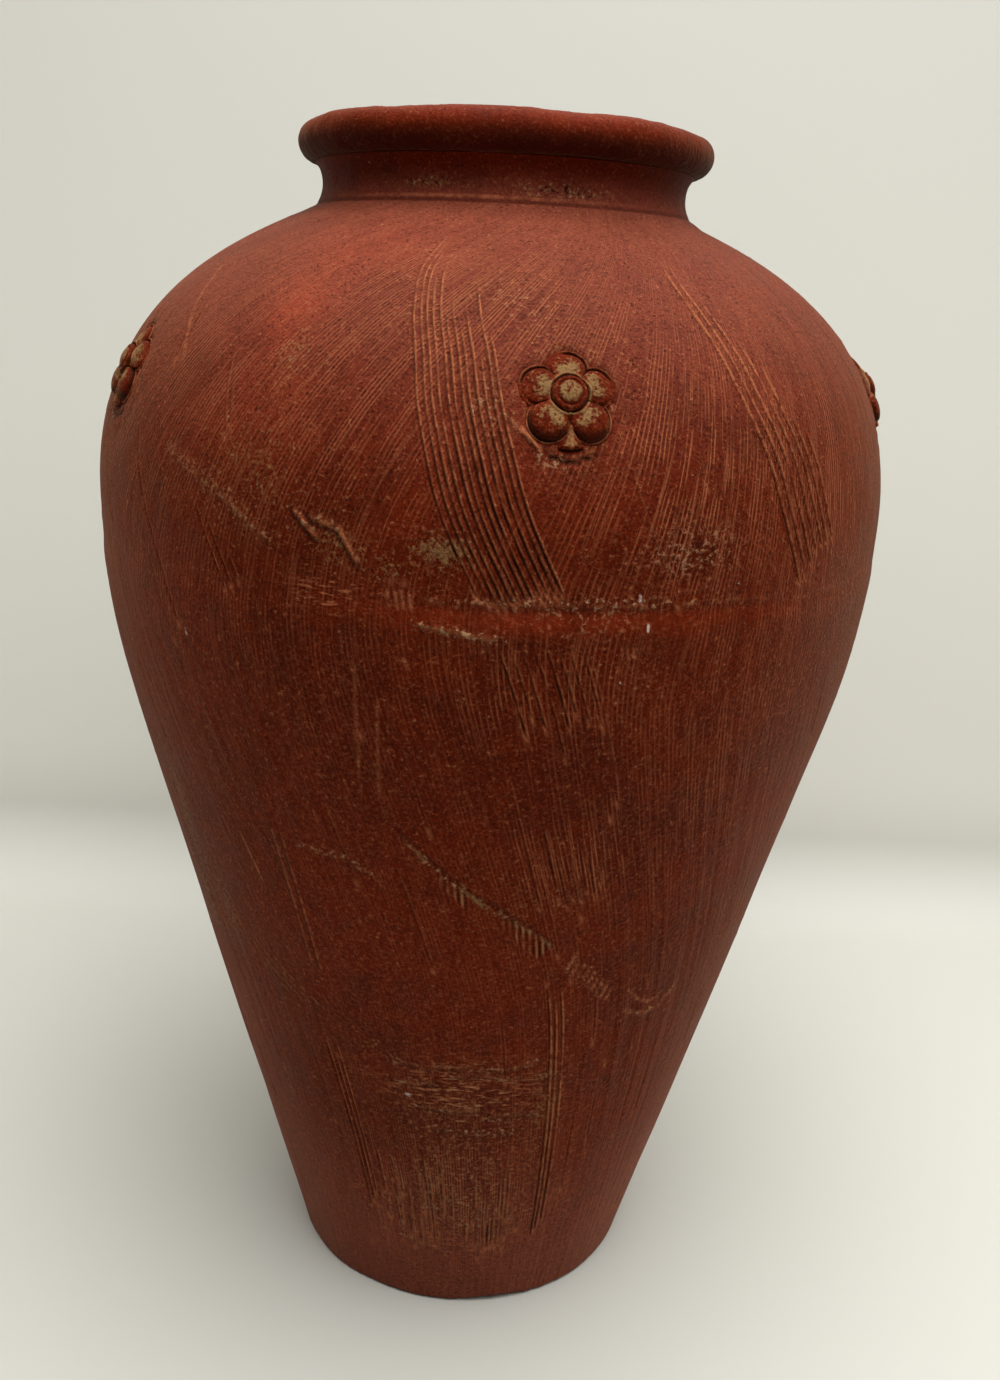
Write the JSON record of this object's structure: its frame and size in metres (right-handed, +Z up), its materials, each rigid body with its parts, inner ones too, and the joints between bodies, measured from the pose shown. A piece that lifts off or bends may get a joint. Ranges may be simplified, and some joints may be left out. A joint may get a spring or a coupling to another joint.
{
  "type": "storage jar",
  "caption": "Tall round-shouldered clay storage jar with a short concave neck, rolled lip, flat base and pressed rosettes on a combed oxide-red wall.",
  "frame": {"origin": "centre of the flat base, on the floor", "axes": "+Z up along the jar's axis, -Y towards the front rosette"},
  "size_m": [0.3389, 0.339, 0.52],
  "materials": {
    "jar_clay": "matte oxide-red slip over fired clay, combed and scraped, with tan patina in the grooves",
    "rosette_clay": "matte oxide-red slip rubbed to olive-tan on the raised petals"
  },
  "bodies": {
    "root": {"base_disc": "jar_clay", "foot_course": "jar_clay", "lower_course": "jar_clay", "middle_course": "jar_clay", "belly_course": "jar_clay", "shoulder_course": "jar_clay", "crown_course": "jar_clay", "neck_collar": "jar_clay", "rim_roll": "jar_clay", "rosette_front": "rosette_clay", "rosette_front_right": "rosette_clay", "rosette_back_right": "rosette_clay", "rosette_back_left": "rosette_clay", "rosette_front_left": "rosette_clay"}
  },
  "joints": []
}
